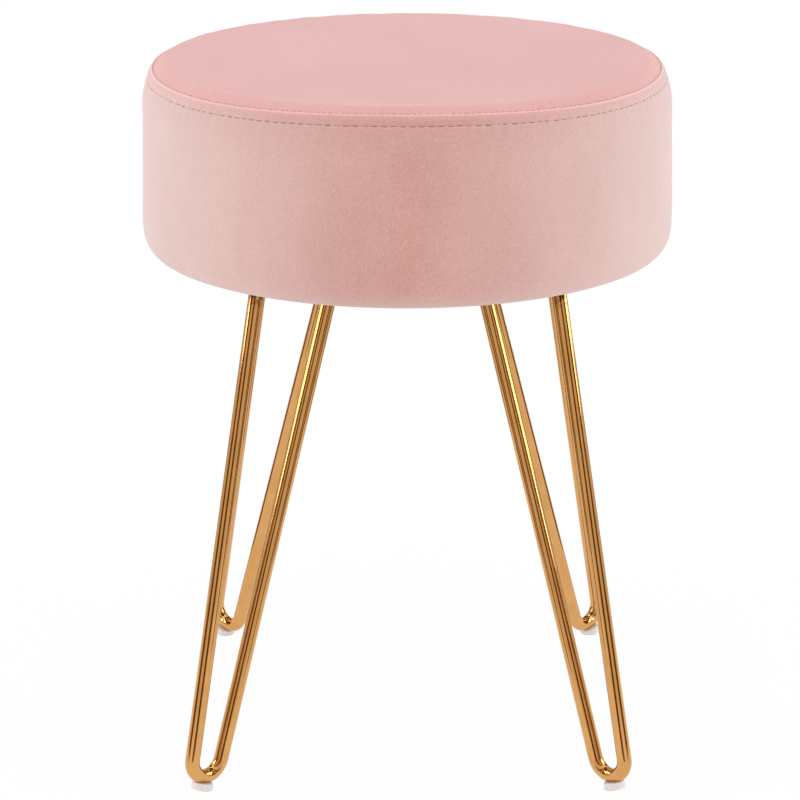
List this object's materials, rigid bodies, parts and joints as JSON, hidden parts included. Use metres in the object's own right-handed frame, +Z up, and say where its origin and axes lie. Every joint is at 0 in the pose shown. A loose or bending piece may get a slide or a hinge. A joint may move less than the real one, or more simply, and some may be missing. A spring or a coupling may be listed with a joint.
{
  "type": "round upholstered stool",
  "caption": "Round stool with a thick velvet drum seat, a topstitched top panel and polished gold bent-rod legs on small clear foot pads, for sitting or resting feet.",
  "frame": {"origin": "on the floor, under the middle of the seat", "axes": "+Z up along the seat's axis, -Y towards the pictured front, +X to its right"},
  "size_m": [0.34, 0.34, 0.4533],
  "materials": {
    "velvet_top": "dense short-pile rose velvet",
    "velvet_band": "dense short-pile dusty rose velvet",
    "foam": "open-cell foam, matt",
    "wadding": "soft polyester wadding",
    "plywood": "unfinished birch plywood",
    "dust_cloth": "black non-woven cloth, matt",
    "staple_wire": "galvanised wire",
    "zinc_steel": "zinc-plated steel",
    "gold_steel": "gold-plated steel, polished",
    "clear_pad": "milky translucent plastic"
  },
  "bodies": {
    "root": {"top_panel": "velvet_top", "side_band": "velvet_band", "foam_block": "foam", "side_wadding": "wadding", "top_wadding": "wadding", "seat_board": "plywood", "dust_cover": "dust_cloth", "hem_staples": "staple_wire", "dust_cover_staples": "staple_wire", "t_nuts": "zinc_steel", "leg_bolts": "zinc_steel", "leg_washers": "zinc_steel", "leg_rod_front_left": "gold_steel", "leg_plate_front_left": "gold_steel", "leg_welds_front_left": "gold_steel", "foot_pad_front_left": "clear_pad", "leg_rod_front_right": "gold_steel", "leg_plate_front_right": "gold_steel", "leg_welds_front_right": "gold_steel", "foot_pad_front_right": "clear_pad", "leg_rod_back_right": "gold_steel", "leg_plate_back_right": "gold_steel", "leg_welds_back_right": "gold_steel", "foot_pad_back_right": "clear_pad", "leg_rod_back_left": "gold_steel", "leg_plate_back_left": "gold_steel", "leg_welds_back_left": "gold_steel", "foot_pad_back_left": "clear_pad"}
  },
  "joints": []
}
